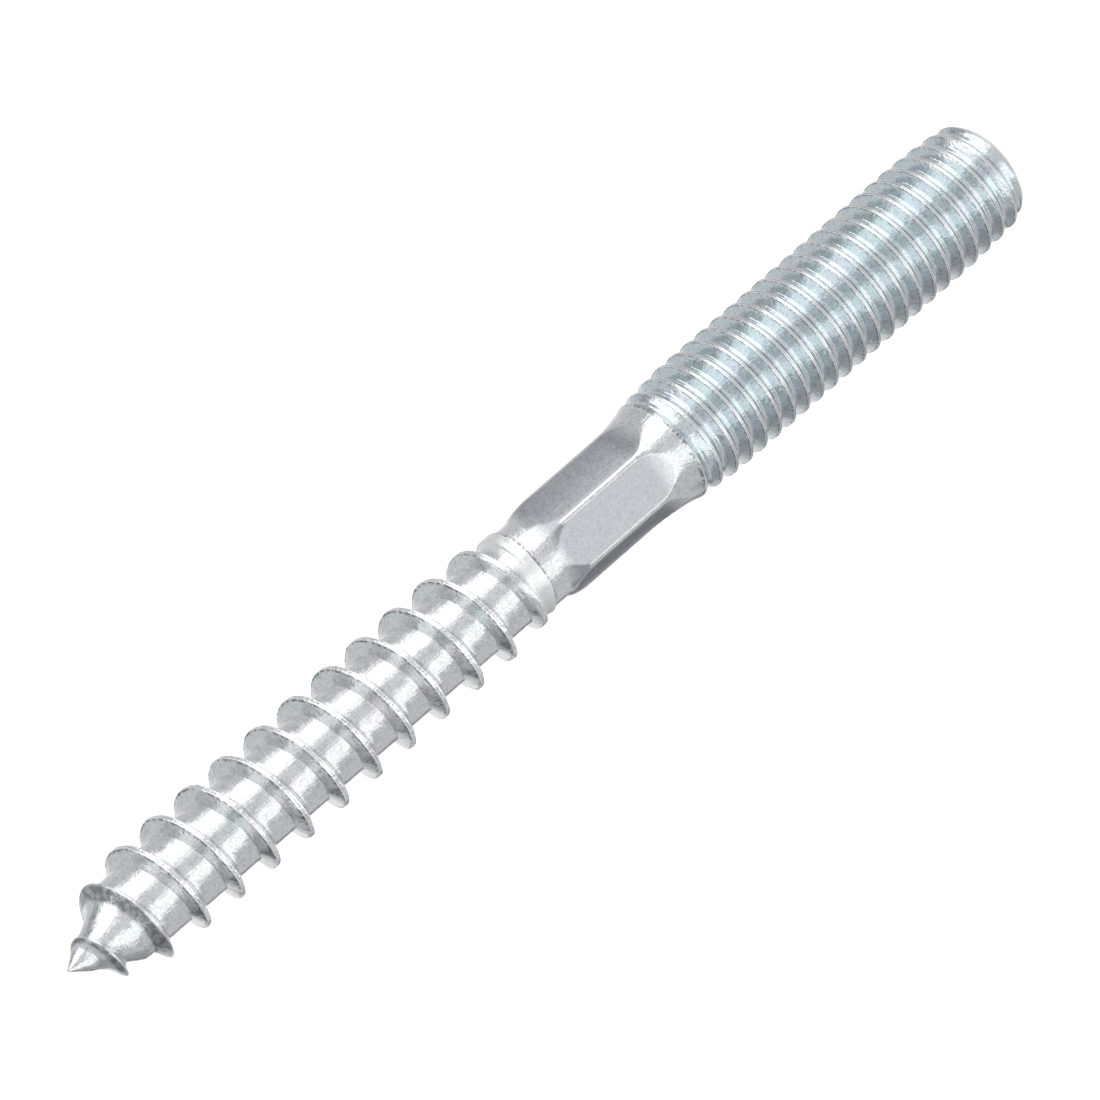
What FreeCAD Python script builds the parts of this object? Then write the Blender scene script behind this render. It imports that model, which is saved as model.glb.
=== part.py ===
"""A hanger bolt: wood thread with a gimlet point, hexagonal shank, plain-turned stretch for a machine thread.

It is rolled and pressed from one steel rod, so it is one solid. It stands on its flat machine end with the
point up: its axis is Z and the end is on Z = 0. Millimetres. "Station" below is the distance from the point
along the axis, so it grows downwards. One flat faces -Y.
"""

import FreeCAD, Part
import math
import os

# Lengths along the axis, 79.0 in all
POINT_LENGTH = 1.7
WOOD_THREAD_LENGTH = 36.0
SHANK_LENGTH = 12.0
MACHINE_THREAD_LENGTH = 29.3

# Machine-thread stretch, M8: the outside of the thread
MACHINE_DIAMETER = 7.88
MACHINE_END_CHAMFER = 0.85
COLLAR_DIAMETER = 7.2

# Wood thread
WOOD_DIAMETER = 7.04
ROOT_DIAMETER = 5.15
WOOD_PITCH = 2.83
CREST_FLAT = 0.31
LEAST_FLAT = 0.1
TIP_FLANK_DEG = 21.0
BACK_FLANK_DEG = 27.0
TIP_CONE_LENGTH = 1.4
TIP_CONE_DIAMETER = 2.04
POINT_CONE_LENGTH = 4.3
CREST_RISE_LENGTH = 5.6
CREST_START_EASE = 1.26
THREAD_START = 1.2
THREAD_PHASE_DEG = 25.6

# The wood thread's end, where the ridge sinks into a ring at the neck
RING_DIAMETER = 5.9
RING_STEP_LENGTH = 0.1
ROOT_RISE_LENGTH = 1.42
RING_EASE_LENGTH = 1.13
RING_TURNS = 0.35
RUN_OUT_TURNS = 1.75
RUN_OUT_CURVE = 1.3
RUN_OUT_FLAT = 0.9

# Neck and hexagonal shank
NECK_DIAMETER = 5.65
NECK_LENGTH = 1.4
SHANK_CONE_LENGTH = 1.9
SHANK_DIAMETER = 6.6
ACROSS_FLATS = 5.85
FLAT_PHASE_DEG = 30.0
FLAT_RUN_OUT_LENGTH = 2.5
FLAT_RUN_OUT_RADIUS = 4.0
RUN_OUT_SWEEP_DEG = 60.0
FLARE_LENGTH = 1.9
SHOULDER_CONES = 3

# How finely the helical edges are fitted, and how deep the ridge is rooted in the rod
SPANS_PER_EDGE = 6
EDGES_PER_TURN = 2
RIDGE_ROOTING = 0.25
LEAST_ROOTING_SHARE = 0.4
RIDGE_SINK = 0.06

# Stations, from the point to the machine end
WOOD_END = POINT_LENGTH + WOOD_THREAD_LENGTH
SHANK_START = WOOD_END + NECK_LENGTH
SHANK_FULL = SHANK_START + SHANK_CONE_LENGTH
MACHINE_START = WOOD_END + SHANK_LENGTH
OVERALL_LENGTH = MACHINE_START + MACHINE_THREAD_LENGTH
FLARE_START = MACHINE_START - FLARE_LENGTH
ROOT_END = WOOD_END - ROOT_RISE_LENGTH
EASE_START = WOOD_END - RING_EASE_LENGTH
WOOD_TURNS = (WOOD_END - THREAD_START) / WOOD_PITCH + RING_TURNS
COLLAR_STEP = (MACHINE_DIAMETER - COLLAR_DIAMETER) / 2
RIDGE_HEIGHT = (WOOD_DIAMETER - ROOT_DIAMETER) / 2


def at(station, radius, angle):
    """The point at a station, a distance from the axis and an angle turned from +X towards +Y."""
    return FreeCAD.Vector(radius * math.cos(angle), radius * math.sin(angle), OVERALL_LENGTH - station)


def core_radius(station):
    """The rod under the wood thread: a blunt tip, a longer cone, the root, and a rise to the ring."""
    tip = TIP_CONE_DIAMETER / 2
    root = ROOT_DIAMETER / 2
    ring = RING_DIAMETER / 2
    if station < TIP_CONE_LENGTH:
        return tip * station / TIP_CONE_LENGTH
    if station < POINT_CONE_LENGTH:
        return tip + (root - tip) * (station - TIP_CONE_LENGTH) / (POINT_CONE_LENGTH - TIP_CONE_LENGTH)
    if station < ROOT_END:
        return root
    return root + (ring - root) * min(1.0, (station - ROOT_END) / ROOT_RISE_LENGTH)


def shoulder(level_end, far_end):
    """A shoulder's corners from its level end to its far end, on a parabola, as a few short cones."""
    corners = []
    for number in range(SHOULDER_CONES + 1):
        share = number / SHOULDER_CONES
        station = level_end[0] + share * (far_end[0] - level_end[0])
        corners.append((station, level_end[1] + share * share * (far_end[1] - level_end[1])))
    return corners


def rod():
    """The rod turned about the axis: point, root, ring, neck, shank, flare, machine stretch, chamfer."""
    neck_end = (SHANK_START, NECK_DIAMETER / 2)
    shank_start = (SHANK_FULL, SHANK_DIAMETER / 2)
    shank_end = (FLARE_START, SHANK_DIAMETER / 2)
    collar = (MACHINE_START, COLLAR_DIAMETER / 2)
    corners = [
        (0.0, 0.0),
        (TIP_CONE_LENGTH, TIP_CONE_DIAMETER / 2),
        (POINT_CONE_LENGTH, ROOT_DIAMETER / 2),
        (ROOT_END, ROOT_DIAMETER / 2),
        (WOOD_END, RING_DIAMETER / 2),
        (WOOD_END + RING_STEP_LENGTH, NECK_DIAMETER / 2),
    ]
    corners += reversed(shoulder(shank_start, neck_end))
    corners += shoulder(shank_end, collar)
    corners += [
        (MACHINE_START + COLLAR_STEP, MACHINE_DIAMETER / 2),
        (OVERALL_LENGTH - MACHINE_END_CHAMFER, MACHINE_DIAMETER / 2),
        (OVERALL_LENGTH, MACHINE_DIAMETER / 2 - MACHINE_END_CHAMFER),
        (OVERALL_LENGTH, 0.0),
    ]
    points = [at(station, radius, 0.0) for station, radius in corners]
    face = Part.Face(Part.makePolygon(points + points[:1]))
    return face.revolve(FreeCAD.Vector(0, 0, 0), FreeCAD.Vector(0, 0, 1), 360)


def crest_station(turn):
    """Where the crest's middle is after so many turns: a steady pitch, easing to a ring at the end."""
    station = THREAD_START + WOOD_PITCH * turn
    over = max(0.0, station - EASE_START)
    return min(station, EASE_START) + RING_EASE_LENGTH * (1.0 - math.exp(-over / RING_EASE_LENGTH))


def run_out(turn):
    """0 along the thread, rising to 1 over its last turns."""
    return max(0.0, 1.0 - (WOOD_TURNS - turn) / RUN_OUT_TURNS)


def crest_radius(turn):
    """A gimlet point's crest rises as a parabola, stays level, and sinks into the ring."""
    full = WOOD_DIAMETER / 2
    station = crest_station(turn)
    if station < CREST_RISE_LENGTH:
        rise = math.sqrt(max(0.0, station) / CREST_RISE_LENGTH)
        return full * rise * (1.0 - math.exp(-((station / CREST_START_EASE) ** 2)))
    return full - (full - RING_DIAMETER / 2 + RIDGE_SINK) * run_out(turn) ** RUN_OUT_CURVE


def ridge_corner(turn, side, on_crest):
    """One corner of the ridge's section. side is -1 towards the point, +1 towards the neck."""
    middle = crest_station(turn)
    core = core_radius(middle)
    top = crest_radius(turn)
    flat = max(LEAST_FLAT, CREST_FLAT * min(1.0, (top - core) / RIDGE_HEIGHT))
    flat += (RUN_OUT_FLAT - CREST_FLAT) * run_out(turn) ** 2
    station = middle + side * flat / 2
    radius = top
    if not on_crest:
        flank = math.radians(TIP_FLANK_DEG if side < 0 else BACK_FLANK_DEG)
        radius = max(core - RIDGE_ROOTING, LEAST_ROOTING_SHARE * core)
        station += side * (top - radius) * math.tan(flank)
    return at(station, radius, math.radians(THREAD_PHASE_DEG) - 2.0 * math.pi * turn)


def helical_edges(side, on_crest):
    """One edge of the ridge as smooth curves, each a part of a turn long."""
    count = math.ceil(WOOD_TURNS * EDGES_PER_TURN)
    step = 1e-4
    edges = []
    for number in range(count):
        first = WOOD_TURNS * number / count
        last = WOOD_TURNS * (number + 1) / count
        places = [first + (last - first) * k / SPANS_PER_EDGE for k in range(SPANS_PER_EDGE + 1)]
        slopes = []
        for place in places:
            ahead = ridge_corner(place + step, side, on_crest)
            behind = ridge_corner(place - step, side, on_crest)
            slopes.append((ahead - behind) / (2 * step))
        curve = Part.BSplineCurve()
        curve.interpolate(
            Points=[ridge_corner(place, side, on_crest) for place in places],
            Parameters=places,
            Tangents=slopes,
            TangentFlags=[True] * len(places),
        )
        edges.append(curve.toShape())
    return edges


def wood_thread():
    """The thread's ridge: four ruled helical faces and a flat cap at each end."""
    section = [(-1, False), (-1, True), (1, True), (1, False)]
    lines = [helical_edges(side, on_crest) for side, on_crest in section]
    faces = []
    for line, next_line in zip(lines, lines[1:] + lines[:1]):
        faces += [Part.makeRuledSurface(a, b) for a, b in zip(line, next_line)]
    for end, vertex in ((0, 0), (-1, -1)):
        corners = [line[end].Vertexes[vertex].Point for line in lines]
        faces.append(Part.Face(Part.makePolygon(corners + corners[:1])))
    shell = Part.Shell(faces)
    shell.sewShape()
    ridge = Part.Solid(shell)
    if ridge.Volume < 0:
        ridge.reverse()
    return ridge


def flat_cutter(angle):
    """What the press takes off for one flat: a level floor that leaves on a round run-out."""
    floor = ACROSS_FLATS / 2
    top = MACHINE_DIAMETER
    low = WOOD_END + NECK_LENGTH / 2
    bend = MACHINE_START - FLAT_RUN_OUT_LENGTH
    rising = []
    for turned in (0.0, math.radians(RUN_OUT_SWEEP_DEG / 2), math.radians(RUN_OUT_SWEEP_DEG)):
        far = bend + FLAT_RUN_OUT_RADIUS * math.sin(turned)
        radius = floor + FLAT_RUN_OUT_RADIUS * (1.0 - math.cos(turned))
        rising.append(at(far, radius, angle))
    edges = [
        Part.makeLine(at(far, top, angle), at(low, top, angle)),
        Part.makeLine(at(low, top, angle), at(low, floor, angle)),
        Part.makeLine(at(low, floor, angle), rising[0]),
        Part.Arc(*rising).toShape(),
        Part.makeLine(rising[2], at(far, top, angle)),
    ]
    face = Part.Face(Part.Wire(edges))
    sideways = FreeCAD.Vector(-math.sin(angle), math.cos(angle), 0.0) * (SHANK_DIAMETER / 2)
    face.translate(sideways * -1.0)
    return face.extrude(sideways * 2.0)


def hanger_bolt():
    """Rod and wood thread as one solid, with six flats pressed into the shank."""
    bolt = rod().fuse(wood_thread())
    for side in range(6):
        bolt = bolt.cut(flat_cutter(math.radians(FLAT_PHASE_DEG + 60.0 * side)))
    return bolt.Solids[0] if len(bolt.Solids) == 1 else bolt


os.makedirs("parts", exist_ok=True)
bolt = hanger_bolt()
bolt.exportStep("parts/hanger_bolt.step")
box = bolt.BoundBox
print("valid", bolt.isValid(), "solids", len(bolt.Solids), "faces", len(bolt.Faces))
print("volume", round(bolt.Volume, 2))
print("from", round(box.XMin, 3), round(box.YMin, 3), round(box.ZMin, 3))
print("to", round(box.XMax, 3), round(box.YMax, 3), round(box.ZMax, 3))
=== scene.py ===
# %% [markdown]
# # A hanger bolt
# One steel rod, rolled with a coarse wood thread at its point, pressed to a hexagon in the middle, rolled
# with an M8 machine thread at its other end, and zinc plated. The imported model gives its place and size:
# it stands on its machine end with the point up, and one flat of the hexagon faces -Y.

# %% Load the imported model
import bmesh
import bpy
import math
import numpy as np
from mathutils import Matrix, Vector


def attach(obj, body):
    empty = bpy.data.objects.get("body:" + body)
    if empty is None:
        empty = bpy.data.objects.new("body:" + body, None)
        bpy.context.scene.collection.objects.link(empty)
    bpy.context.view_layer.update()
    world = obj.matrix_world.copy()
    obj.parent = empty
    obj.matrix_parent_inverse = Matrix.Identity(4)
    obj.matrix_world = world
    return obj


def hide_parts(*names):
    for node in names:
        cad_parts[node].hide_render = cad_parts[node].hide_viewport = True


MM = 1000.0

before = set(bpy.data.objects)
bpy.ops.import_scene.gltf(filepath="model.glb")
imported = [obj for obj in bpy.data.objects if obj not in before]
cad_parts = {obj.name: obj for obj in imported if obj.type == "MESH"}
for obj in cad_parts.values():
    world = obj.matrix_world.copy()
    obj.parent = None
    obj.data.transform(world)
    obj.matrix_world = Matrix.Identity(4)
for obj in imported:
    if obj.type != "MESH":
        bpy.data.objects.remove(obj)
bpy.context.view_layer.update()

# %% [markdown]
# ## The camera
# The photograph was taken with a long lens, from about half a metre. The line from the lens leans 23
# degrees off square towards the point, and the picture is rolled so that the bolt runs from corner to
# corner. Three directions at right angles give the camera's turn, and the place it looks at lies a little
# beside the bolt's axis. It could be set by eye, but only a camera worked out from the photograph's own
# perspective lays the picture over the photograph line for line.

# %% Place the camera
TILT_DEG = 23.0
FACING_DEG = -73.0
DISTANCE = 503.6
LOOK_HEIGHT = 38.85
LOOK_ASIDE = 0.07
FOCAL_PX = 8470.0
PICTURE_PX = 1100.0
SENSOR_WIDTH = 36.0
# the picture's right side, as shares of the line down the bolt and of the line across it
ROLL_DOWN = 0.75352
ROLL_ACROSS = 0.65744

tilt = math.radians(TILT_DEG)
facing = math.radians(FACING_DEG)
towards = Vector((math.cos(facing) * math.cos(tilt), math.sin(facing) * math.cos(tilt), math.sin(tilt)))
down_axis = Vector((math.cos(facing) * math.sin(tilt), math.sin(facing) * math.sin(tilt), -math.cos(tilt)))
across = towards.cross(down_axis)
right = ROLL_DOWN * down_axis - ROLL_ACROSS * across
up = ROLL_ACROSS * down_axis + ROLL_DOWN * across
turn = Matrix((right, up, towards)).transposed()
target = Vector((0.0, 0.0, LOOK_HEIGHT)) - across * LOOK_ASIDE

camera = bpy.data.objects.new("camera", bpy.data.cameras.new("camera"))
bpy.context.scene.collection.objects.link(camera)
camera.data.sensor_width = SENSOR_WIDTH
camera.data.lens = SENSOR_WIDTH * FOCAL_PX / PICTURE_PX
camera.data.clip_start = 0.05
camera.data.clip_end = 20.0
camera.matrix_world = Matrix.Translation((target + towards * DISTANCE) / MM) @ turn.to_4x4()
bpy.context.scene.camera = camera
print("lens", round(camera.data.lens, 1), "right", [round(v, 3) for v in right])

# %% [markdown]
# ## Sizes
# Every length is in millimetres. A "station" is a distance from the point along the axis, so it grows
# downwards, and angles are measured from +X towards +Y, as in the solid model.

# %% Name the sizes
LENGTH = 79.0
NECK_FROM = 37.7
NECK_TO = 39.1
SHANK_FULL = 41.0
FLARE_FROM = 47.8
MACHINE_FROM = 49.7
RING_R = 2.95
NECK_R = 2.825
SHANK_R = 3.3
COLLAR_R = 3.6
MACHINE_R = 3.94
print("stretches", NECK_FROM, NECK_TO, SHANK_FULL, FLARE_FROM, MACHINE_FROM, LENGTH)

# %% [markdown]
# ## Angles that all stretches share
# The whole bolt is one skin, so its stretches meet in the same columns of points. The columns are placed
# for the hexagon: fourteen steps across each flat and two across the narrow strip of round rod left at
# each corner. A thread doesn't mind where they are.

# %% Choose the columns
SIDES = 6
SIDE_DEG = 360.0 / SIDES
HALF_SIDE_DEG = SIDE_DEG / 2.0
FLAT_PHASE = 30.0
CORNER_HALF_DEG = 2.4
FLAT_COLUMNS = 15

flat_edge = HALF_SIDE_DEG - CORNER_HALF_DEG
one_side = np.append(np.linspace(-flat_edge, flat_edge, FLAT_COLUMNS), HALF_SIDE_DEG)
columns = np.concatenate([FLAT_PHASE + SIDE_DEG * side + one_side for side in range(SIDES)]) % 360.0
columns = np.sort(columns)
loop = np.append(columns, columns[0] + 360.0)
print("columns", len(columns))

# %% [markdown]
# ## Threads as one long strip
# A thread's skin is a strip that winds round the rod. Its section runs from the foot of one ridge to the
# foot of the next, and the strip's far edge is its own near edge one turn later, so the two are merged
# where they meet. Rows that would pass the end of a thread are held back at the end's ring. A Screw
# modifier makes an even helix in one step, but these threads change their height, width or pitch towards
# their ends, so each point's radius is worked out from its turn and its station.

# %% Wind a strip, and gather patches into one mesh
patches = []


def add_patch(station, radius, angle_deg):
    """Keeps a grid of points: each is (R cos a, R sin a, length - station)."""
    angle = np.radians(angle_deg)
    patches.append(np.stack([radius * np.cos(angle), radius * np.sin(angle), LENGTH - station], axis=-1))


def wind(phase_deg, first_turn, last_turn):
    """Turns and angles of every column: turn = (phase - angle) / 360 + whole turns from first to last."""
    part_turn = np.sort(((phase_deg - columns) % 360.0) / 360.0)
    turns = np.concatenate([part_turn + whole for whole in range(first_turn, last_turn)])
    return turns, phase_deg - 360.0 * turns


def smooth_max(a, b, width):
    """The larger of a and b, with the corner between them rounded over a width."""
    h = np.clip(0.5 + 0.5 * (a - b) / width, 0.0, 1.0)
    return b + (a - b) * h + width * h * (1.0 - h)


def ease(value):
    """0 below 0, 1 above 1, and 3v^2 - 2v^3 between."""
    v = np.clip(value, 0.0, 1.0)
    return v * v * (3.0 - 2.0 * v)


def flutter(place, seed, waves=7, lowest=0.6, highest=9.0):
    """A smooth uneven line between about -1 and 1: sines of mixed lengths with fixed random starts."""
    rng = np.random.default_rng(seed)
    rate = rng.uniform(lowest, highest, waves)
    start = rng.uniform(0.0, 2.0 * np.pi, waves)
    return np.sin(2.0 * np.pi * rate * place[..., None] + start).sum(axis=-1) / math.sqrt(waves)


print("helpers for patches ready")

# %% [markdown]
# ## The wood thread
# The ridge is a steep-sided wedge with a narrow flat crest. At the gimlet point the crest rises from
# almost nothing while the core under it is a cone. At the far end the pitch closes up, so the last
# ridge becomes a ring, and it sinks into the neck. Rolling leaves the crest a little ragged.

# %% Name the wood thread's sizes
WOOD_PITCH = 2.83
WOOD_START = 0.45
WOOD_PHASE = 121.0
WOOD_R = 3.52
ROOT_R = 2.575
RISE_LENGTH = 5.6
START_EASE = 1.26
RING_EASE = 1.13
SINK_TURNS = 1.75
SINK_CURVE = 1.3
SUNK_BELOW_RING = 0.03
EXTRA_TURNS = 0.35
WOOD_TURNS = (NECK_FROM - WOOD_START) / WOOD_PITCH + EXTRA_TURNS

# half the crest's width, and the turns over which it goes from one to the other
POINT_HALF_FLAT = 0.05
FULL_HALF_FLAT = 0.155
SHARP_TURNS = 1.8
WIDEN_TURNS = 0.5
SUNK_WIDENING = 0.295

# how uneven the crest's height and width are
CREST_WAVE = 0.02
CREST_TEAR = 0.013
WIDTH_WAVE = 0.03

# the back flank's lean off square as a tangent, the front flank's in degrees by turn, and the roundings
BACK_LEAN = math.tan(math.radians(27.0))
FRONT_LEAN_DEG = np.array([[0.0, 32.0], [1.3, 32.0], [1.5, 36.0], [1.75, 36.0], [2.3, 21.0]])
EDGE_ROUND = 0.04
FOOT_ROUND = 0.13

# station and radius of the rod under the ridge: blunt tip, longer cone, root, rise to the ring, neck
CORE_LINE = np.array([
    [0.0, 0.0], [1.38, 1.01], [2.1, 1.24], [2.79, 1.6], [3.37, 1.95], [3.99, 2.4], [4.3, ROOT_R],
    [36.28, ROOT_R], [37.66, RING_R - 0.01], [37.71, RING_R - 0.01], [37.8, NECK_R], [79.0, NECK_R],
])
print("wood thread", round(WOOD_TURNS, 2), "turns")


# %% Shape the wood thread's section
def core_radius(station):
    """The rod under the ridge: straight lines between the stations of the core line."""
    return np.interp(station, CORE_LINE[:, 0], CORE_LINE[:, 1])


def wood_crest(turns):
    """The crest's middle station: a steady pitch that closes up to a ring at the end."""
    steady = WOOD_START + WOOD_PITCH * turns
    over = np.maximum(0.0, steady - (NECK_FROM - RING_EASE))
    return np.minimum(steady, NECK_FROM - RING_EASE) + RING_EASE * (1.0 - np.exp(-over / RING_EASE))


def sunk(turns):
    """0 along the thread, rising straight to 1 over the last turns, where the ridge sinks."""
    return np.clip(1.0 - (WOOD_TURNS - turns) / SINK_TURNS, 0.0, 1.0)


def wood_crest_radius(turns):
    """Square-root rise at the point, level along the thread, sinking at the end, with a ragged edge."""
    station = np.maximum(wood_crest(turns), 0.0)
    start = 1.0 - np.exp(-((station / START_EASE) ** 2))
    rise = np.sqrt(np.clip(station / RISE_LENGTH, 0.0, 1.0)) * start
    sink = sunk(turns) ** SINK_CURVE
    radius = WOOD_R * rise - (WOOD_R - RING_R + SUNK_BELOW_RING) * sink
    waves = CREST_WAVE * flutter(turns, 11)
    tears = CREST_TEAR * flutter(turns, 13, waves=12, lowest=12.0, highest=40.0)
    ragged = (waves + tears) * ease(turns - 1.0) * (1.0 - sink)
    return np.where((turns > 0.0) & (turns < WOOD_TURNS), radius + ragged, 0.0)


def wood_half_flat(turns):
    """Half the crest's width: sharp for two turns, then full, and wider where it sinks."""
    share = ease((turns - SHARP_TURNS) / WIDEN_TURNS)
    level = POINT_HALF_FLAT + (FULL_HALF_FLAT - POINT_HALF_FLAT) * share
    uneven = WIDTH_WAVE * flutter(turns, 12) * (1.0 - sunk(turns))
    return level + uneven + SUNK_WIDENING * sunk(turns) ** 2


def front_lean(turns):
    """The tangent of the lean of the flank that faces the point: it leans further for two turns."""
    return np.tan(np.radians(np.interp(turns, FRONT_LEAN_DEG[:, 0], FRONT_LEAN_DEG[:, 1])))


def wood_radius(turns, station):
    """The outermost of the core and the ridges before, at and after this turn, feet rounded."""
    radius = core_radius(station)
    for whole in range(-2, 4):
        near = turns + whole
        off = station - wood_crest(near)
        lean = np.where(off < 0.0, front_lean(near), BACK_LEAN)
        beyond = smooth_max(np.abs(off) - wood_half_flat(near), 0.0, EDGE_ROUND)
        ridge = wood_crest_radius(near) - beyond / lean
        radius = smooth_max(radius, ridge, FOOT_ROUND)
    return np.where(station <= 0.0, 0.0, radius)


print("crest radius after six turns", round(float(wood_crest_radius(np.array([6.0]))[0]), 2))

# %% [markdown]
# ## Rows that follow the ridge
# The strip's rows are drawn to the lines where the section bends: the ridge's front foot, the two edges
# of its crest, its back foot and the next ridge's front foot. Between two lines they are shared out as
# listed, closer where the surface is rounded.

# %% Draw the rows of the wood thread
LAST_WOOD_RING = 37.15
FRONT_MARGIN = 0.01
BACK_RUN = 0.52
FOOT_MARGIN = 0.06
WOOD_ROWS = np.array([
    0, 0.14, 0.3, 0.5, 0.7, 0.86, 0.95, 1, 1.12, 1.5, 1.88, 2,
    2.05, 2.15, 2.35, 2.55, 2.75, 2.9, 3, 3.2, 3.4, 3.6, 3.8, 4,
])


def ridge_height(turns):
    """How far the crest stands over the rod under its middle."""
    return np.maximum(0.0, wood_crest_radius(turns) - core_radius(np.maximum(wood_crest(turns), 0.0)))


def front_foot(turns):
    """The ridge's front foot, held back at the last ring after the thread's end."""
    run = (front_lean(turns) + FRONT_MARGIN) * ridge_height(turns)
    foot = wood_crest(turns) - wood_half_flat(turns) - run - FOOT_MARGIN
    return foot + (LAST_WOOD_RING - foot) * ease(turns - WOOD_TURNS)


def wood_lines(turns):
    """Stations of the ridge's front foot, crest edges, back foot and the next ridge's front foot."""
    crest = wood_crest(turns)
    half = wood_half_flat(turns)
    back_foot = crest + half + BACK_RUN * ridge_height(turns) + FOOT_MARGIN
    first, last = front_foot(turns), front_foot(turns + 1.0)
    lines = [first, crest - half, crest + half, back_foot, last]
    return np.clip(np.stack(lines, axis=-1), first[:, None], last[:, None])


def between(lines, rows):
    """Stations of rows that run through the lines: row 1.5 is half way between lines 1 and 2."""
    low = np.minimum(rows.astype(int), lines.shape[1] - 2)
    share = rows - low
    return lines[:, low] * (1.0 - share) + lines[:, low + 1] * share


print("rows", len(WOOD_ROWS))

# %% Wind the wood thread and close it with rings at the neck
CLOSE_RINGS_TO = 37.9
CLOSE_STEP = 0.03
NECK_RING = 38.6
NECK_RINGS = 8

turns, angles = wind(WOOD_PHASE, -2, math.ceil(WOOD_TURNS) + 2)
stations = np.clip(between(wood_lines(turns), WOOD_ROWS), 0.0, LAST_WOOD_RING)
add_patch(stations, wood_radius(turns[:, None], stations), angles[:, None])
print("wood thread", patches[-1].shape)

close_rings = np.arange(LAST_WOOD_RING, CLOSE_RINGS_TO, CLOSE_STEP)
rings = np.concatenate([close_rings, np.linspace(CLOSE_RINGS_TO, NECK_RING, NECK_RINGS)])
last_turns = ((WOOD_PHASE - loop) % 360.0) / 360.0 + math.floor(WOOD_TURNS) - 1.0
ring_stations = np.repeat(rings[:, None], len(loop), axis=1)
add_patch(ring_stations, wood_radius(last_turns[None, :], ring_stations), loop[None, :])
print("ring at the neck", patches[-1].shape)

# %% [markdown]
# ## The machine thread
# M8 with a 1.25 mm pitch: straight flanks at 30 degrees, a wide rounded root, and a narrow crest that
# shows it was rolled, because the metal pushed up from both sides leaves a fine seam along its middle.
# The first turns rise out of the collar and the last ones fall away to the chamfered end. The section is
# half a pitch, from the crest's middle to the root's, and is mirrored. A bump map would be lighter, but the
# outline of a thread shows its teeth, so they are real here.

# %% Shape the machine thread
MACHINE_PITCH = 1.25
MACHINE_PHASE = -163.0
MACHINE_CREST = 64.98
MACHINE_ROOT_R = 3.27
# distance from the crest's middle and radius
SECTION = np.array([
    [0.0, 3.915], [0.025, 3.927], [0.055, 3.94], [0.085, 3.928], [0.115, 3.88], [0.24, 3.663],
    [0.365, 3.447], [0.405, 3.386], [0.45, 3.333], [0.505, 3.292], [0.565, 3.274], [0.625, 3.27],
])
# station and radius of the crest, the root and the chamfer
CREST_LINE = np.array([
    [49.7, 3.6], [49.8, 3.63], [50.2, 3.68], [51.2, 3.77], [52.4, 3.89], [53.2, 3.94], [73.4, 3.94],
    [74.5, 3.91], [75.5, 3.86], [76.5, 3.79], [77.73, 3.67], [78.3, 3.56], [79.0, 3.5],
])
ROOT_LINE = np.array([[49.7, 3.6], [49.82, 3.46], [50.2, 3.38], [51.0, 3.29], [51.6, 3.27], [79.0, 3.27]])
END_LINE = np.array([[49.7, 9.0], [77.9, 3.66], [78.3, 3.4], [78.6, 3.1], [78.85, 2.7], [79.0, 2.3]])


def along(line, station):
    """The radius that a line of stations and radii has at this station."""
    return np.interp(station, line[:, 0], line[:, 1])


def machine_radius(turns, station):
    """The section, stretched between the root line and the crest line and cut by the end's chamfer."""
    off = (station - MACHINE_CREST) / MACHINE_PITCH - turns
    off = np.abs(off - np.round(off)) * MACHINE_PITCH
    share = (along(SECTION, off) - MACHINE_ROOT_R) / (MACHINE_R - MACHINE_ROOT_R)
    root = along(ROOT_LINE, station)
    return np.minimum(root + share * (along(CREST_LINE, station) - root), along(END_LINE, station))


offsets = np.concatenate([-SECTION[:0:-1, 0], SECTION[:, 0]])
first = math.floor((MACHINE_FROM - MACHINE_CREST) / MACHINE_PITCH) - 1
last = math.ceil((LENGTH - MACHINE_CREST) / MACHINE_PITCH) + 1
turns, angles = wind(MACHINE_PHASE, first, last)
stations = MACHINE_CREST + MACHINE_PITCH * turns[:, None] + offsets[None, :]
stations = np.clip(stations, MACHINE_FROM, LENGTH)
add_patch(stations, machine_radius(turns[:, None], stations), angles[:, None])
print("machine thread", patches[-1].shape)

# %% [markdown]
# ## Neck, hexagonal shank and end face
# The shank is round rod with six flats pressed in. A point's radius is the smaller of the round body and
# the flat's plane, which is its distance from the axis over the cosine of the angle off its middle. At
# the machine end the flats leave on a round run-out while the body flares out to the thread. Pressing
# leaves sharp edges along the flats and softer ones where they run out. Six planes could cut the flats
# from a cylinder, but a formula keeps the shank's columns in line with those of the threads.

# %% Name the shank's sizes
HALF_ACROSS_FLATS = 2.925
FLAT_BEND = 46.5
FLAT_BEND_R = 6.5
FLAT_CROWN = 0.025
CROWN_HALF_DEG = 27.0

# how far a flat's edges are rounded: everywhere, and more towards the neck and the thread
EDGE_BLEND = 0.012
NECK_BLEND = 0.08
NECK_BLEND_LENGTH = 1.6
THREAD_BLEND = 0.05
THREAD_BLEND_FROM = 48.0
THREAD_BLEND_LENGTH = 1.5

# from, to and how many rings
SHANK_RINGS = [(NECK_RING, 41.2, 19), (41.2, 46.8, 9), (46.8, MACHINE_FROM, 24)]
print("across flats", 2.0 * HALF_ACROSS_FLATS, "round", 2.0 * SHANK_R)


# %% Shape the shank
def round_body(station):
    """Neck, a shoulder that is a parabola, the level shank and the flare, another parabola."""
    before = np.clip((SHANK_FULL - station) / (SHANK_FULL - NECK_TO), 0, 1)
    after = np.clip((station - FLARE_FROM) / (MACHINE_FROM - FLARE_FROM), 0, 1)
    return SHANK_R - (SHANK_R - NECK_R) * before**2 + (COLLAR_R - SHANK_R) * after**2


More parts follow.
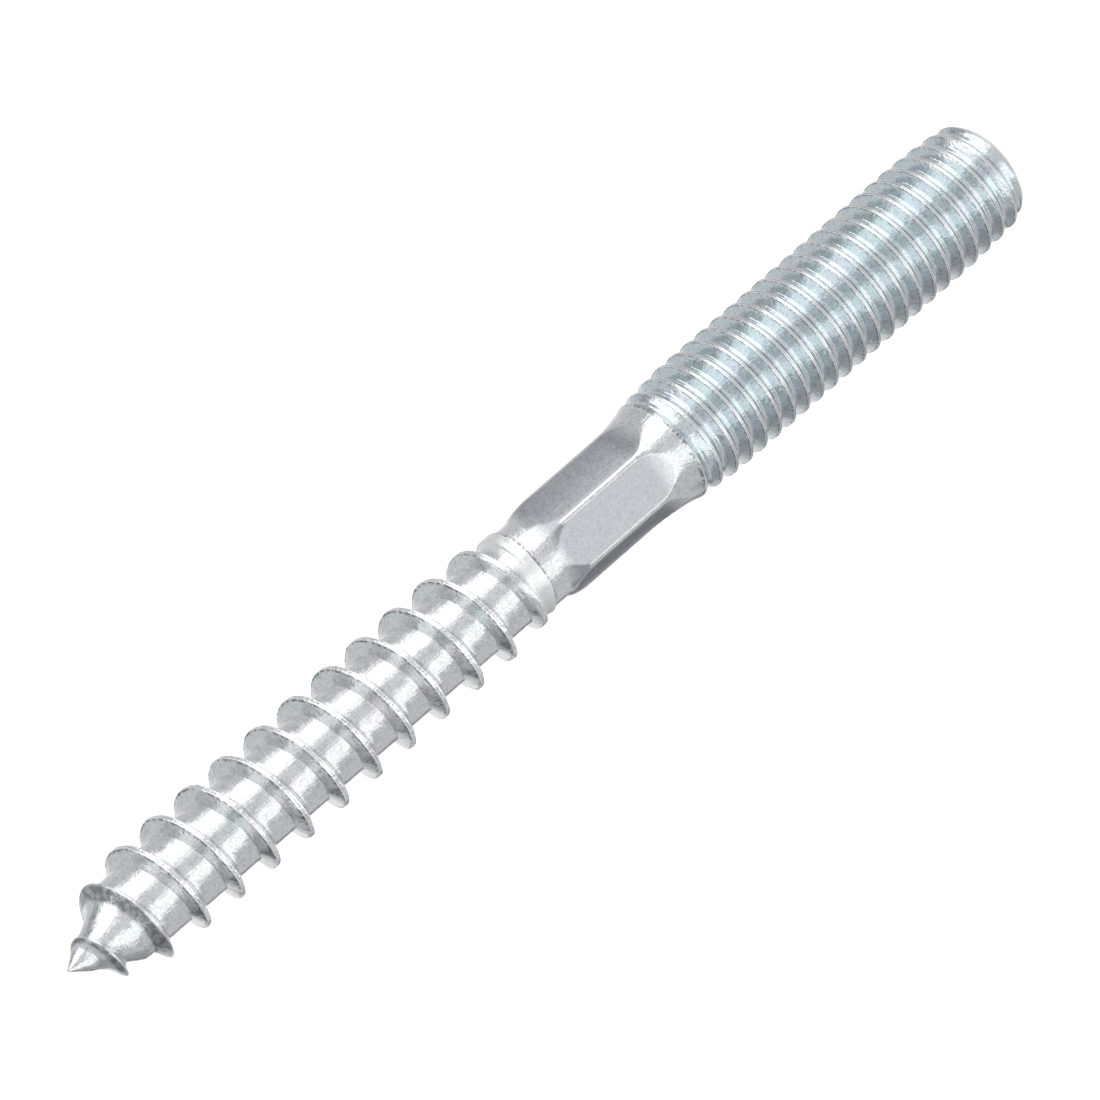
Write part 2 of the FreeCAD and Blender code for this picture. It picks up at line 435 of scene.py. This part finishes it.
def shank_radius(station, angle_deg):
    """The smaller of the round body and the slightly crowned flat that faces this angle, blended."""
    off = (angle_deg - FLAT_PHASE + HALF_SIDE_DEG) % SIDE_DEG - HALF_SIDE_DEG
    past = np.clip(station - FLAT_BEND, 0.0, FLAT_BEND_R * 0.99)
    plane = HALF_ACROSS_FLATS + FLAT_BEND_R - np.sqrt(FLAT_BEND_R**2 - past**2)
    crown = FLAT_CROWN * (1.0 - 2.0 * (off / CROWN_HALF_DEG) ** 2)
    near_neck = ease((SHANK_FULL - station) / NECK_BLEND_LENGTH)
    near_thread = ease((station - THREAD_BLEND_FROM) / THREAD_BLEND_LENGTH)
    blend = EDGE_BLEND + NECK_BLEND * near_neck + THREAD_BLEND * near_thread
    return -smooth_max(-round_body(station), -(plane + crown) / np.cos(np.radians(off)), blend)


rings = np.concatenate([[NECK_RING]] + [np.linspace(*stretch)[1:] for stretch in SHANK_RINGS])
shank = shank_radius(rings[:, None], loop[None, :])
shank[0] = NECK_R
shank[-1] = COLLAR_R
add_patch(np.repeat(rings[:, None], len(loop), axis=1), shank, loop[None, :])
print("shank", patches[-1].shape)

# %% Close the end
END_SHARES = np.array([1.0, 0.97, 0.9, 0.75, 0.55, 0.35, 0.15, 0.0])

discs = END_SHARES * END_LINE[-1, 1]
end_radius = np.repeat(discs[:, None], len(loop), axis=1)
add_patch(np.full(end_radius.shape, LENGTH), end_radius, loop[None, :])
print("end face", patches[-1].shape)

# %% [markdown]
# ## One skin
# Each patch gives two triangles a cell. Points closer than a hundred-thousandth of a millimetre are one
# point, and triangles that lose a corner by that are dropped, which closes the seams and the two poles.
# The point leans a little to one side, as rolled points do.

# %% Gather the patches and lean the point
# where the point leans, and by how much at each station
LEAN_DEG = -163.0
LEAN_LINE = np.array([[0.0, 0.1], [1.4, 0.13], [2.4, 0.17], [3.0, 0.14], [4.4, 0.0]])


def triangles_of(rows, across_count, offset):
    """Two triangles for each cell of a grid, as indices."""
    index = np.arange(rows * across_count).reshape(rows, across_count) + offset
    a, b, c, d = index[:-1, :-1], index[:-1, 1:], index[1:, 1:], index[1:, :-1]
    upper = np.stack([a, b, c], -1).reshape(-1, 3)
    lower = np.stack([a, c, d], -1).reshape(-1, 3)
    return np.concatenate([upper, lower])


triangles = []
offset = 0
for patch in patches:
    triangles.append(triangles_of(patch.shape[0], patch.shape[1], offset))
    offset += patch.shape[0] * patch.shape[1]
points = np.concatenate([patch.reshape(-1, 3) for patch in patches])
triangles = np.concatenate(triangles)
lean = along(LEAN_LINE, LENGTH - points[:, 2])
points[:, 0] += lean * math.cos(math.radians(LEAN_DEG))
points[:, 1] += lean * math.sin(math.radians(LEAN_DEG))
print("points", len(points), "triangles", len(triangles))

# %% Merge points and drop empty triangles
STEPS_PER_MM = 1e5

places = np.round(points * STEPS_PER_MM).astype(np.int64)
_, first_of, same_as = np.unique(places, axis=0, return_index=True, return_inverse=True)
points = points[first_of]
triangles = same_as.reshape(-1)[triangles]
a, b, c = triangles.T
triangles = triangles[(a != b) & (b != c) & (c != a)]
print("points", len(points), "triangles", len(triangles))

# %% Make the mesh, turn its faces outwards and check that it is closed
SHARP_EDGE_DEG = 28.0

mesh = bpy.data.meshes.new("hanger_bolt_skin")
mesh.from_pydata((points / MM).tolist(), [], triangles.tolist())
mesh.update()
bolt = bpy.data.objects.new("hanger_bolt_skin", mesh)
bpy.context.scene.collection.objects.link(bolt)

work = bmesh.new()
work.from_mesh(mesh)
bmesh.ops.recalc_face_normals(work, faces=work.faces)
open_edges = sum(1 for edge in work.edges if len(edge.link_faces) != 2)
volume = work.calc_volume(signed=True) * MM**3
work.to_mesh(mesh)
work.free()
mesh.polygons.foreach_set("use_smooth", np.ones(len(mesh.polygons), dtype=bool))
mesh.set_sharp_from_angle(angle=math.radians(SHARP_EDGE_DEG))
print("triangles", len(mesh.polygons), "open edges", open_edges, "volume mm3", round(volume, 1))

# %% [markdown]
# ## Nodes by name
# Materials and the studio's light are built from nodes. These helpers add a node, a sum or a smooth step
# and link it in one line, and start a node group with named sockets.


# %% Write the helpers for nodes
def add_node(tree, kind, **settings):
    """Adds a node of this kind and sets the named properties on it."""
    node = tree.nodes.new(kind)
    for name, value in settings.items():
        setattr(node, name, value)
    return node


def feed(tree, socket, value):
    """Links a socket into this input, or sets the input to a number or a tuple."""
    if isinstance(value, bpy.types.NodeSocket):
        tree.links.new(value, socket)
    else:
        socket.default_value = value


def math_node(tree, operation, *values):
    """A Math node fed with sockets or numbers; returns its output."""
    node = add_node(tree, "ShaderNodeMath", operation=operation)
    for place, value in enumerate(values):
        feed(tree, node.inputs[place], value)
    return node.outputs[0]


def product(tree, *values):
    """Multiplies any number of sockets and numbers."""
    result = values[0]
    for value in values[1:]:
        result = math_node(tree, "MULTIPLY", result, value)
    return result


def scaled_vector(tree, vector, scale):
    """The vector with its x, y and z multiplied by the three numbers of scale."""
    node = add_node(tree, "ShaderNodeVectorMath", operation="MULTIPLY")
    feed(tree, node.inputs[0], vector)
    feed(tree, node.inputs[1], scale)
    return node.outputs[0]


def step_node(tree, value, start, end):
    """0 before start, 1 after end, smooth between."""
    node = add_node(tree, "ShaderNodeMapRange", interpolation_type="SMOOTHSTEP")
    feed(tree, node.inputs["Value"], value)
    feed(tree, node.inputs["From Min"], start)
    feed(tree, node.inputs["From Max"], end)
    return node.outputs["Result"]


def mix_node(tree, share, first, second):
    """The first colour where share is 0, the second where it is 1."""
    node = add_node(tree, "ShaderNodeMix", data_type="RGBA")
    feed(tree, node.inputs["Factor"], share)
    feed(tree, node.inputs["A"], first)
    feed(tree, node.inputs["B"], second)
    return node.outputs["Result"]


def noise_node(tree, vector, waves, detail=2.0, rough=0.5):
    """Noise with so many waves per millimetre along x, y and z; returns values about 0.5."""
    node = add_node(tree, "ShaderNodeTexNoise")
    feed(tree, node.inputs["Vector"], scaled_vector(tree, vector, waves))
    feed(tree, node.inputs["Scale"], 1.0)
    feed(tree, node.inputs["Detail"], detail)
    feed(tree, node.inputs["Roughness"], rough)
    return node.outputs[0]


print("node helpers ready")


# %% Write the helpers for groups
def new_group(name, takes, gives):
    """A node group with these (name, kind) sockets; returns it, its inputs and its output node."""
    group = bpy.data.node_groups.new(name, "ShaderNodeTree")
    for socket, kind in takes:
        group.interface.new_socket(socket, in_out="INPUT", socket_type="NodeSocket" + kind)
    for socket, kind in gives:
        group.interface.new_socket(socket, in_out="OUTPUT", socket_type="NodeSocket" + kind)
    return group, add_node(group, "NodeGroupInput").outputs, add_node(group, "NodeGroupOutput").inputs


def use_group(tree, group, **values):
    """Puts a group into a tree and feeds its inputs by name; returns its outputs."""
    node = add_node(tree, "ShaderNodeGroup", node_tree=group, label=group.name)
    for name, value in values.items():
        feed(tree, node.inputs[name], value)
    return node.outputs


print("group helpers ready")

# %% [markdown]
# ## Zinc
# Bright zinc plate over rolled steel. Close to, four things give it its look: a fine crystal grain, marks
# that the rolling left along the rod, torn and rough thread crests, and a thin passivation film that
# shows now mint, now lavender. A picture would stretch over the threads, so they are node groups that work
# out the finish from a point's place in millimetres. The first group says on which stretch of the bolt a
# point lies and how far it is from a crest, so that the finish can differ by place.

# %% Name the places on the bolt
PLACES = ["Wood", "Machine", "Crest", "Seam", "EdgeAndShadow", "Flat", "Ring", "Point"]
# stations between which a stretch fades
WOOD_SIDE_FADE = (39.5, 38.5)
WOOD_THREAD_FADE = (37.6, 37.2)
MACHINE_FADE = (48.5, 50.5)
# the point's fade limits the painted shade on its first flanks
POINT_SHADE_FADE = (5.9, 5.3)
# stations where a band begins, is full, begins to leave and ends
RING_BAND = (36.4, 36.8, 37.68, 37.72)
# the crevice and collar bands are painted shadow in the groove at the ring's step and where the thread
# leaves the collar
CREVICE_SHADOW_BAND = (37.68, 37.74, 37.8, 37.95)
COLLAR_SHADOW_BAND = (49.58, 49.68, 49.78, 49.92)
FLAT_BAND = (38.9, 39.9, 47.0, 48.8)
# distances from the middle of the crest
WOOD_TOP_FADE = (0.21, 0.15)
WOOD_SEAM_FADE = (0.055, 0.02)
WOOD_EDGE_AT = 0.19
WOOD_EDGE_FADE = (0.02, 0.05)
MACHINE_TOP_FADE = (0.13, 0.095)
MACHINE_SEAM_FADE = (0.035, 0.01)
MACHINE_EDGE_AT = 0.12
MACHINE_EDGE_FADE = (0.01, 0.03)
# distances behind the ridge's front foot and behind the middle of its crest, which bound the painted shade
# on the front flanks at the point
FOOT_FADE = (-0.1, 0.1)
FRONT_EDGE_FADE = (-0.03, -0.12)
# radii
HIGH_CREST_FADE = (3.36, 3.46)
HIGH_FLANK_FADE = (3.2, 3.4)
FLAT_DEPTH_FADE = (SHANK_R - 0.02, SHANK_R - 0.07)

where_group, given, result = new_group(
    "bolt_place", [("Position", "Vector")], [(name, "Float") for name in PLACES])


def place_math(operation, *values):
    """A Math node in the group of places."""
    return math_node(where_group, operation, *values)


def fade(value, start, end):
    """0 before start and 1 after end, in the group of places."""
    return step_node(where_group, value, start, end)


def band(value, start, full, leave, end):
    """1 from full to leave, 0 before start and after end."""
    return place_math("SUBTRACT", fade(value, start, full), fade(value, leave, end))


def line_at(value, middle, half, end):
    """1 within half of the middle, 0 further from it than end."""
    away = place_math("ABSOLUTE", place_math("SUBTRACT", value, middle))
    return place_math("SUBTRACT", 1.0, fade(away, half, end))


def both(on_first, first, on_second, second):
    """The first value on the first stretch plus the second on the second."""
    return place_math("MULTIPLY_ADD", on_second, second, place_math("MULTIPLY", on_first, first))


print("places", PLACES)

# %% Find the stretches and the crests
parts = add_node(where_group, "ShaderNodeSeparateXYZ")
where_group.links.new(given["Position"], parts.inputs[0])
x, y, z = parts.outputs
station = place_math("SUBTRACT", LENGTH, z)
radius = place_math("SQRT", place_math("ADD", place_math("MULTIPLY", x, x), place_math("MULTIPLY", y, y)))
degrees = place_math("DEGREES", place_math("ARCTAN2", y, x))


def past_crest(crest_station, phase_deg, pitch):
    """How far a point lies behind the middle of the nearest crest, along the bolt, in millimetres."""
    turned = place_math("DIVIDE", place_math("SUBTRACT", phase_deg, degrees), 360.0 / pitch)
    past = place_math("SUBTRACT", place_math("SUBTRACT", station, crest_station), turned)
    return place_math("WRAP", past, pitch / 2.0, -pitch / 2.0)


on_wood = fade(station, *WOOD_THREAD_FADE)
on_machine = fade(station, *MACHINE_FADE)
wood_past = past_crest(WOOD_START, WOOD_PHASE, WOOD_PITCH)
wood_off = place_math("ABSOLUTE", wood_past)
machine_off = place_math("ABSOLUTE", past_crest(MACHINE_CREST, MACHINE_PHASE, MACHINE_PITCH))
print("crests each", WOOD_PITCH, "mm and each", MACHINE_PITCH, "mm")

# %% Mask crests, seams, edges, flats, the ring, the painted groove shadow and the painted shade on the flanks at the point
# how far the front foot lies before the crest: this much at the tip, and more along the point; the front
# flank from there to the crest gets painted shade
FLANK_AT_TIP = 0.1
FLANK_GROWTH = 0.125

wood_top = product(where_group, on_wood, fade(wood_off, *WOOD_TOP_FADE), fade(radius, *HIGH_CREST_FADE))
machine_top = product(where_group, on_machine, fade(machine_off, *MACHINE_TOP_FADE))
crest = place_math("ADD", wood_top, machine_top)
seam = both(wood_top, fade(wood_off, *WOOD_SEAM_FADE), on_machine, fade(machine_off, *MACHINE_SEAM_FADE))

high_up = product(where_group, on_wood, fade(radius, *HIGH_FLANK_FADE))
wood_edge = line_at(wood_off, WOOD_EDGE_AT, *WOOD_EDGE_FADE)
machine_edge = line_at(machine_off, MACHINE_EDGE_AT, *MACHINE_EDGE_FADE)
edge = both(high_up, wood_edge, on_machine, machine_edge)
# painted shadow in the two grooves joins the dark lines along the edges
groove_shadow = place_math("ADD", band(station, *CREVICE_SHADOW_BAND), band(station, *COLLAR_SHADOW_BAND))
edge = place_math("ADD", edge, groove_shadow)

flat = product(where_group, band(station, *FLAT_BAND), fade(radius, *FLAT_DEPTH_FADE))
ring = band(station, *RING_BAND)
wood_side = fade(station, *WOOD_SIDE_FADE)

flank_foot = place_math("MULTIPLY_ADD", station, FLANK_GROWTH, FLANK_AT_TIP)
from_foot = fade(place_math("ADD", wood_past, flank_foot), *FOOT_FADE)
to_crest = fade(wood_past, *FRONT_EDGE_FADE)
shaded_first_flanks = product(where_group, from_foot, to_crest, fade(station, *POINT_SHADE_FADE))

masks = (wood_side, on_machine, crest, seam, edge, flat, ring, shaded_first_flanks)
for name, value in zip(PLACES, masks):
    where_group.links.new(value, result[name])
print("bolt place", len(where_group.nodes), "nodes")

# %% [markdown]
# ## Grain, rolling marks and film
# Three more groups. The grain is fine noise over coarser noise, and both are given out by themselves,
# because they also decide where the plate is dull. The marks are noise drawn out along the rod, with torn
# metal added on the crests. The film goes from one tint to the next by a slow cloud.

# %% Make the grain
grain_group, given, result = new_group(
    "zinc_grain", [("Position", "Vector")],
    [("Height", "Float"), ("Fine", "Float"), ("Patches", "Float")])
fine = noise_node(grain_group, given["Position"], (8.0, 8.0, 8.0), 1.0, 0.5)
coarse = noise_node(grain_group, given["Position"], (2.4, 2.4, 2.4), 2.0, 0.6)
grain_group.links.new(math_node(grain_group, "MULTIPLY_ADD", fine, 0.45, coarse), result["Height"])
grain_group.links.new(fine, result["Fine"])
grain_group.links.new(coarse, result["Patches"])
print(grain_group.name, len(grain_group.nodes), "nodes")

# %% Make the rolling marks
marks_group, given, result = new_group(
    "rolling_marks", [("Position", "Vector"), ("Crest", "Float")], [("Height", "Float"), ("Torn", "Float")])
drawn = noise_node(marks_group, given["Position"], (3.2, 3.2, 0.2), 2.0, 0.6)
torn = noise_node(marks_group, given["Position"], (4.0, 4.0, 4.0), 1.0, 0.6)
rough_crest = product(marks_group, torn, 2.0, given["Crest"])
marks_group.links.new(math_node(marks_group, "MULTIPLY_ADD", drawn, 0.9, rough_crest), result["Height"])
marks_group.links.new(torn, result["Torn"])
print(marks_group.name, len(marks_group.nodes), "nodes")

# %% Make the film
ZINC = (0.86, 0.87, 0.88, 1.0)
LAVENDER = (0.87, 0.85, 0.88, 1.0)
MINT = (0.83, 0.88, 0.87, 1.0)
TEAL = (0.745, 0.83, 0.85, 1.0)
BLUE = (0.76, 0.81, 0.85, 1.0)

film_group, given, result = new_group(
    "passivation_film", [("Position", "Vector"), ("Machine", "Float")], [("Color", "Color")])
cloud = noise_node(film_group, given["Position"], (0.6, 0.6, 0.35), 2.0, 0.5)
wood_tint = mix_node(film_group, step_node(film_group, cloud, 0.55, 0.7), ZINC, LAVENDER)
wood_tint = mix_node(film_group, step_node(film_group, cloud, 0.45, 0.3), wood_tint, MINT)
machine_tint = mix_node(film_group, step_node(film_group, cloud, 0.4, 0.6), TEAL, BLUE)
film_group.links.new(mix_node(film_group, given["Machine"], wood_tint, machine_tint), result["Color"])
print(film_group.name, len(film_group.nodes), "nodes")

# %% [markdown]
# ## The finish
# The colour is laid up in layers: the film, bare bright metal on the crests and the ring, dark lines
# along seams and crest edges, painted shadow in the grooves at the ring's step and at the collar, the
# greyer pressed flats, painted shade on the front flanks at the point, and dull specks over it all.
# Roughness and bump follow the same places.

# %% Name the colours and how much the dark lines and the painted shade show
BARE = (0.96, 0.96, 0.965, 1.0)
# a dark colour for the dull specks, the dark lines, and the painted shade and shadow
DULL_AND_SHADE = (0.22, 0.23, 0.25, 1.0)
PRESSED = (0.485, 0.50, 0.53, 1.0)

# how much of the dark colour shows in the lines and the painted groove shadow, as painted shade on the
# flanks at the point, and in the specks
LINE_AND_SHADOW_DARKNESS = 0.8
FLANK_SHADE_LEAST = 0.48
FLANK_SHADE_PATCHES = 0.4
FINE_SPECKS = 0.22
COARSE_SPECKS = 0.12
CLEAN_CREST = 0.8
SMOOTH_MACHINE_CREST = 0.85
print("line_shade", LINE_AND_SHADOW_DARKNESS, "flank_shade", FLANK_SHADE_LEAST, "to", FLANK_SHADE_LEAST + FLANK_SHADE_PATCHES)

# %% Start the zinc and bring in the groups
zinc = bpy.data.materials.new("bright_zinc")
zinc.use_nodes = True
zinc_tree = zinc.node_tree
shader = zinc_tree.nodes["Principled BSDF"]
shader.inputs["Metallic"].default_value = 1.0
object_place = add_node(zinc_tree, "ShaderNodeTexCoord").outputs["Object"]
position = scaled_vector(zinc_tree, object_place, (MM, MM, MM))
place = use_group(zinc_tree, where_group, Position=position)
grain = use_group(zinc_tree, grain_group, Position=position)
film = use_group(zinc_tree, film_group, Position=position, Machine=place["Machine"])


def zinc_math(operation, *values):
    """A Math node in the zinc."""
    return math_node(zinc_tree, operation, *values)


def less(mask, share):
    """1 minus this share of a mask."""
    return zinc_math("SUBTRACT", 1.0, zinc_math("MULTIPLY", mask, share))


torn_crest = zinc_math("MULTIPLY", place["Crest"], less(place["Machine"], SMOOTH_MACHINE_CREST))
marks = use_group(zinc_tree, marks_group, Position=position, Crest=torn_crest)
print("zinc", len(zinc_tree.nodes), "nodes")

# %% Lay up the zinc's colour
bright = zinc_math("MAXIMUM", place["Crest"], place["Ring"])
colour = mix_node(zinc_tree, bright, film["Color"], BARE)
broken = step_node(zinc_tree, marks["Torn"], 0.42, 0.58)
whole_seam = zinc_math("MAXIMUM", zinc_math("MULTIPLY", broken, LINE_AND_SHADOW_DARKNESS), place["Machine"])
seam = product(zinc_tree, place["Seam"], whole_seam, LINE_AND_SHADOW_DARKNESS)
lines_and_shadow = zinc_math("MAXIMUM", seam, zinc_math("MULTIPLY", place["EdgeAndShadow"], broken))
# the dark lines along seams and crest edges and the painted groove shadow are mixed in here
colour = mix_node(zinc_tree, zinc_math("MULTIPLY", lines_and_shadow, LINE_AND_SHADOW_DARKNESS), colour, DULL_AND_SHADE)
colour = mix_node(zinc_tree, place["Flat"], colour, PRESSED)
# painted shade, a dark reflection painted into the colour, on the front flanks of the first turns at the
# point, stronger in patches
flank_shade = step_node(zinc_tree, grain["Patches"], 0.62, 0.42)
flank_shade = zinc_math("MULTIPLY_ADD", flank_shade, FLANK_SHADE_PATCHES, FLANK_SHADE_LEAST)
colour = mix_node(zinc_tree, zinc_math("MULTIPLY", place["Point"], flank_shade), colour, DULL_AND_SHADE)
dull = zinc_math("MULTIPLY", step_node(zinc_tree, grain["Fine"], 0.62, 0.35), FINE_SPECKS)
dull = zinc_math("MULTIPLY_ADD", step_node(zinc_tree, grain["Patches"], 0.5, 0.36), COARSE_SPECKS, dull)
dull = zinc_math("MULTIPLY", dull, less(bright, CLEAN_CREST))
colour = mix_node(zinc_tree, dull, colour, DULL_AND_SHADE)
zinc_tree.links.new(colour, shader.inputs["Base Color"])
print("with colour", len(zinc_tree.nodes), "nodes")

# %% Add roughness and bump, and put the zinc on
LEAST_ROUGH = 0.1
PATCHES_ROUGHER = 0.1
WOOD_ROUGHER = 0.04
CREST_ROUGHER = 0.04
RING_ROUGHER = 0.16
BUMP_M = 0.000018
FLAT_SMOOTHER = 0.6

rough = step_node(zinc_tree, grain["Patches"], 0.4, 0.65)
rough = zinc_math("MULTIPLY_ADD", rough, PATCHES_ROUGHER, LEAST_ROUGH)
rough = zinc_math("MULTIPLY_ADD", place["Wood"], WOOD_ROUGHER, rough)
rough = zinc_math("MULTIPLY_ADD", bright, CREST_ROUGHER, rough)
rough = zinc_math("MULTIPLY_ADD", place["Ring"], RING_ROUGHER, rough)
zinc_tree.links.new(rough, shader.inputs["Roughness"])

bump = add_node(zinc_tree, "ShaderNodeBump")
bump.inputs["Distance"].default_value = BUMP_M
bump.inputs["Strength"].default_value = 1.0
relief = zinc_math("ADD", grain["Height"], marks["Height"])
relief = zinc_math("MULTIPLY", relief, less(place["Flat"], FLAT_SMOOTHER))
zinc_tree.links.new(relief, bump.inputs["Height"])
zinc_tree.links.new(bump.outputs["Normal"], shader.inputs["Normal"])
mesh.materials.append(zinc)

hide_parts("hanger_bolt")
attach(bolt, "root")
print("with roughness and bump", len(zinc_tree.nodes), "nodes")

# %% [markdown]
# ## The studio that the metal reflects
# Polished zinc has no look of its own: it shows what stands round it. The photograph's streaks tell what
# that was, because a streak's place on a round stretch gives the direction it came from. Two long soft
# boxes lay along the bolt, one on either side of the camera, with a pale gap between them. Behind the
# bolt were the pale table, grey walls and dark gaps, and a grey card stood at its right. Lamps would show
# in the metal as small hard spots, so all of it is painted on the world, the boxes and their gap as strips
# that run along the bolt and the rest as cards. The camera itself sees plain white.


# %% Write the helpers for lights
def soft_edge(tree, value, edge, softness, inwards):
    """0 one softness outside the edge and 1 one softness inside it."""
    near = math_node(tree, "MULTIPLY", softness, inwards)
    low = math_node(tree, "SUBTRACT", edge, near)
    high = math_node(tree, "ADD", edge, near)
    return step_node(tree, value, low, high)


def turned_parts(tree, direction, facing):
    """The direction's share towards where this light faces, a quarter turn past that and up."""
    turned = add_node(tree, "ShaderNodeVectorRotate", rotation_type="Z_AXIS")
    tree.links.new(direction, turned.inputs["Vector"])
    tree.links.new(math_node(tree, "MULTIPLY", facing, -1.0), turned.inputs["Angle"])
    apart = add_node(tree, "ShaderNodeSeparateXYZ")
    tree.links.new(turned.outputs[0], apart.inputs[0])
    return apart.outputs


def light_group(name, angles):
    """A group that takes a direction and these angles and gives a mask."""
    takes = [("Direction", "Vector")] + [(angle, "Float") for angle in angles]
    return new_group(name, takes, [("Mask", "Float")])


print("light helpers ready")

# %% Make a card and a strip
# how far round a strip reaches, as a share towards where it faces
STRIP_BACK = (-0.18, -0.02)

card, given, result = light_group("card", ["Facing", "Half Width", "Lowest", "Highest", "Softness"])
forward, aside, upward = turned_parts(card, given["Direction"], given["Facing"])
angle = math_node(card, "ABSOLUTE", math_node(card, "ARCTAN2", aside, forward))
height = math_node(card, "ARCSINE", upward)
inside = soft_edge(card, angle, given["Half Width"], given["Softness"], -1.0)
above = soft_edge(card, height, given["Lowest"], given["Softness"], 1.0)
below = soft_edge(card, height, given["Highest"], given["Softness"], -1.0)
card.links.new(product(card, inside, above, below), result["Mask"])

strip, given, result = light_group("tunnel_strip", ["Facing", "Lowest", "Highest", "Softness"])
forward, aside, upward = turned_parts(strip, given["Direction"], given["Facing"])
beside = math_node(strip, "ARCSINE", aside)
above = soft_edge(strip, beside, given["Lowest"], given["Softness"], 1.0)
below = soft_edge(strip, beside, given["Highest"], given["Softness"], -1.0)
in_front = step_node(strip, forward, *STRIP_BACK)
strip.links.new(product(strip, above, below, in_front), result["Mask"])
print("card", len(card.nodes), "strip", len(strip.nodes), "nodes")

# %% List what stands in the studio
# name, facing from +X towards +Y, half width, lowest, highest, softness (all in degrees), colour it shows
CARDS = [
    ("grey behind, right", 70, 24, -90, 12, 8, (0.66, 0.66, 0.67)),
    ("grey behind, right, high", 70, 24, 12, 62, 8, (0.64, 0.66, 0.67)),
    ("table behind", 106, 28, -60, 10, 7, (0.92, 0.91, 0.91)),
    ("dark behind", 113, 22, 22, 84, 6, (0.1, 0.11, 0.12)),
    ("dark behind, left, high", 154, 18, 14, 50, 7, (0.32, 0.33, 0.34)),
    ("dark behind, left", 160, 22, -10, 14, 6, (0.36, 0.37, 0.38)),
    ("grey behind, left, low", 163, 19, -42, -10, 6, (0.6, 0.6, 0.61)),
    ("dark gap behind, left", 134, 9, -32, 4, 4, (0.26, 0.26, 0.28)),
    ("grey card, right", 27, 24, 9, 40, 6, (0.38, 0.39, 0.41)),
]
# name, from, to (degrees past where the strips face, the camera's right being positive), softness, colour
STRIPS = [
    ("pale gap", -19, 16, 5, (0.71, 0.72, 0.73)),
    ("right box", 15, 62, 7, (1.42, 1.43, 1.42)),
    ("left box", -56, -20, 5, (1.24, 1.25, 1.25)),
]
STRIPS_FACING_DEG = FACING_DEG + 5.0
ROOM = (0.58, 0.59, 0.60)
print("cards", len(CARDS), "strips", len(STRIPS))

# %% Paint the studio on the world
world = bpy.data.worlds.new("studio")
world.use_nodes = True
studio_tree = world.node_tree
studio_tree.nodes.clear()
direction = add_node(studio_tree, "ShaderNodeTexCoord").outputs["Generated"]
colour = (*ROOM, 1.0)


def add_light(group, label, under, shown, **angles):
    """Lays this light's colour over what is there, its angles given in degrees."""
    light = add_node(studio_tree, "ShaderNodeGroup", node_tree=group, label=label)
    studio_tree.links.new(direction, light.inputs["Direction"])
    for socket, angle_deg in angles.items():
        light.inputs[socket.replace("_", " ")].default_value = math.radians(angle_deg)
    return mix_node(studio_tree, light.outputs["Mask"], under, (*shown, 1.0))


for name, facing_deg, half, low, high, soft, shown in CARDS:
    colour = add_light(
        card, name, colour, shown,
        Facing=facing_deg, Half_Width=half, Lowest=low, Highest=high, Softness=soft)
for name, low, high, soft, shown in STRIPS:
    colour = add_light(
        strip, name, colour, shown,
        Facing=STRIPS_FACING_DEG, Lowest=low, Highest=high, Softness=soft)

mirrored = add_node(studio_tree, "ShaderNodeBackground")
studio_tree.links.new(colour, mirrored.inputs["Color"])
plain = add_node(studio_tree, "ShaderNodeBackground")
plain.inputs["Color"].default_value = (1.0, 1.0, 1.0, 1.0)
choose = add_node(studio_tree, "ShaderNodeMixShader")
camera_ray = add_node(studio_tree, "ShaderNodeLightPath").outputs["Is Camera Ray"]
studio_tree.links.new(camera_ray, choose.inputs["Fac"])
studio_tree.links.new(mirrored.outputs[0], choose.inputs[1])
studio_tree.links.new(plain.outputs[0], choose.inputs[2])
seen_world = add_node(studio_tree, "ShaderNodeOutputWorld")
studio_tree.links.new(choose.outputs[0], seen_world.inputs["Surface"])
bpy.context.scene.world = world
bpy.context.scene.view_settings.view_transform = "Standard"
print("world", len(studio_tree.nodes), "nodes")

# %% [markdown]
# ## The floor
# A pale floor that the camera sees as white. It is matt, so it keeps the bolt's soft shadow, and it adds a
# little light of its own for the camera only, which lifts the pale grey to white.

# %% Lay the floor
FLOOR_HALF = 3
FLOOR_LIFT = 0.6

corners = [(-1, -1), (1, -1), (1, 1), (-1, 1)]
floor_mesh = bpy.data.meshes.new("floor")
floor_mesh.from_pydata([(FLOOR_HALF * x, FLOOR_HALF * y, 0) for x, y in corners], [], [(0, 1, 2, 3)])
floor = bpy.data.objects.new("floor", floor_mesh)
bpy.context.scene.collection.objects.link(floor)
floor.visible_glossy = False
matt = bpy.data.materials.new("white_floor")
matt.use_nodes = True
matt_tree = matt.node_tree
paint = matt_tree.nodes["Principled BSDF"]
paint.inputs["Base Color"].default_value = (0.85, 0.85, 0.85, 1.0)
paint.inputs["Roughness"].default_value = 0.9
paint.inputs["Emission Color"].default_value = (1.0, 1.0, 1.0, 1.0)
camera_ray = add_node(matt_tree, "ShaderNodeLightPath").outputs["Is Camera Ray"]
lift = math_node(matt_tree, "MULTIPLY", camera_ray, FLOOR_LIFT)
matt_tree.links.new(lift, paint.inputs["Emission Strength"])
floor_mesh.materials.append(matt)
print("floor laid")
